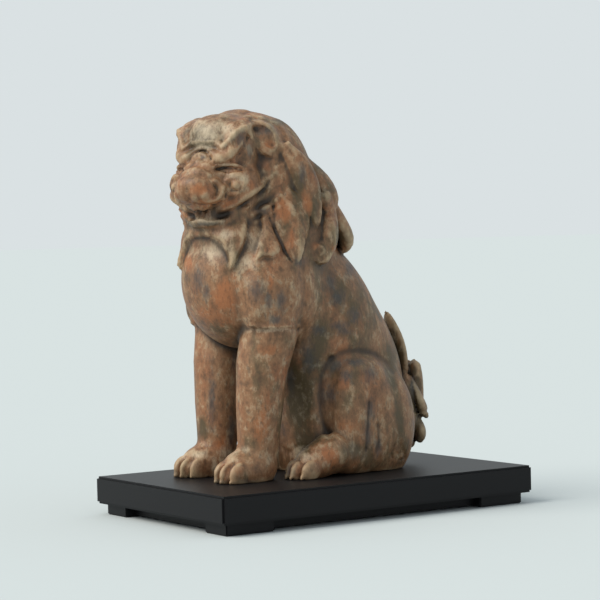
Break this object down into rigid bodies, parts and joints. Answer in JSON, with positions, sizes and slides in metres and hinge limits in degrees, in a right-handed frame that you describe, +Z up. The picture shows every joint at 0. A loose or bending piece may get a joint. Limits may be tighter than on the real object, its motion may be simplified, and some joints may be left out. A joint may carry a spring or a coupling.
{
  "type": "seated guardian lion statuette",
  "caption": "Carved wooden guardian lion seated on its haunches, head turned aside, on a low black rectangular plinth with corner feet.",
  "frame": {"origin": "centre of the plinth's footprint, on the surface it stands on", "axes": "+Z up; the lion's body faces -Y; +X is the lion's left"},
  "size_m": [0.054, 0.083, 0.0903],
  "materials": {
    "lion_wood": "satin",
    "plinth_lacquer": "satin"
  },
  "bodies": {
    "root": {"lion": "lion_wood", "plinth": "plinth_lacquer"}
  },
  "joints": []
}
